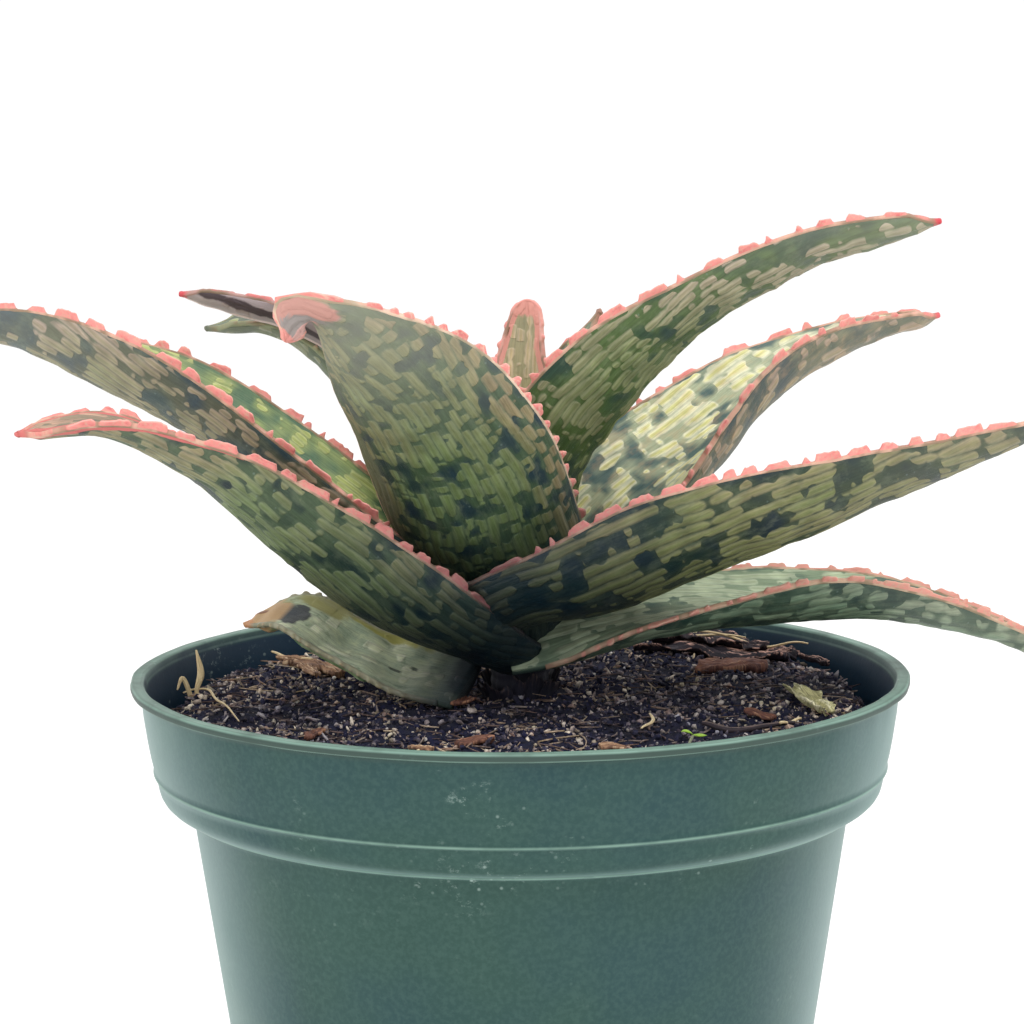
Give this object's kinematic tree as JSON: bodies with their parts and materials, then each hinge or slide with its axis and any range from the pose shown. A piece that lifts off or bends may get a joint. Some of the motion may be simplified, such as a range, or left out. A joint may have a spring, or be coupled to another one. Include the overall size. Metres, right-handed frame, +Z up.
{
  "type": "potted snowflake aloe",
  "caption": "Small potted aloe: spotted green channelled leaves with pink toothed edges in a loose rosette, in a round green nursery pot filled with soil.",
  "frame": {"origin": "centre of the flat underside of the pot, on the surface that it stands on", "axes": "+Z up along the pot's axis; -Y is the front that the picture shows; +X is the viewer's right"},
  "size_m": [0.1542, 0.106, 0.1549],
  "materials": {
    "pot": "satin moulded plastic with pale scuffs",
    "soil": "dark crumbly peat mix with tan fibres and white grit",
    "stem": "dry ringed stem",
    "leaf": "dark green leaf skin with dense pale elongated spots",
    "leaf_margin": "coral pink waxy rim",
    "leaf_fading": "pale grey-green ageing leaf skin",
    "leaf_fading_margin": "yellow-brown dry rim",
    "leaf_withered": "dark shrivelled leaf skin",
    "dried_leaf": "fibrous dried leaf",
    "wood_bits": "rough bark and wood",
    "dry_scrap": "yellow-green dried leaf scrap",
    "seedling": "fresh lime green",
    "straw": "dry straw"
  },
  "bodies": {
    "root": {"pot": "pot", "soil": "soil", "stem": "stem", "leaf_front_left": "leaf", "leaf_front_left_margin": "leaf_margin", "leaf_right_front": "leaf", "leaf_right_front_margin": "leaf_margin", "leaf_low_right": "leaf", "leaf_low_right_margin": "leaf_margin", "leaf_low_left": "leaf_fading", "leaf_low_left_margin": "leaf_fading_margin", "leaf_arched": "leaf", "leaf_arched_margin": "leaf_margin", "leaf_upper_left": "leaf", "leaf_upper_left_margin": "leaf_margin", "leaf_upper_right": "leaf", "leaf_upper_right_margin": "leaf_margin", "leaf_right": "leaf", "leaf_right_margin": "leaf_margin", "leaf_young": "leaf", "leaf_young_margin": "leaf_margin", "leaf_back_dark": "leaf_withered", "leaf_back_dark_margin": "leaf_margin", "leaf_back_green": "leaf", "leaf_back_green_margin": "leaf_fading_margin", "leaf_back_slim": "leaf", "leaf_back_slim_margin": "leaf_margin", "leaf_back": "leaf", "leaf_back_margin": "leaf_margin", "dried_leaf_lower": "dried_leaf", "dried_leaf_upper": "dried_leaf", "bark_chip": "wood_bits", "dry_scrap": "dry_scrap", "wood_chip_left": "wood_bits", "wood_chip_front": "wood_bits", "seedling": "seedling", "straw_upright": "straw", "straw_leaning": "straw"}
  },
  "joints": []
}
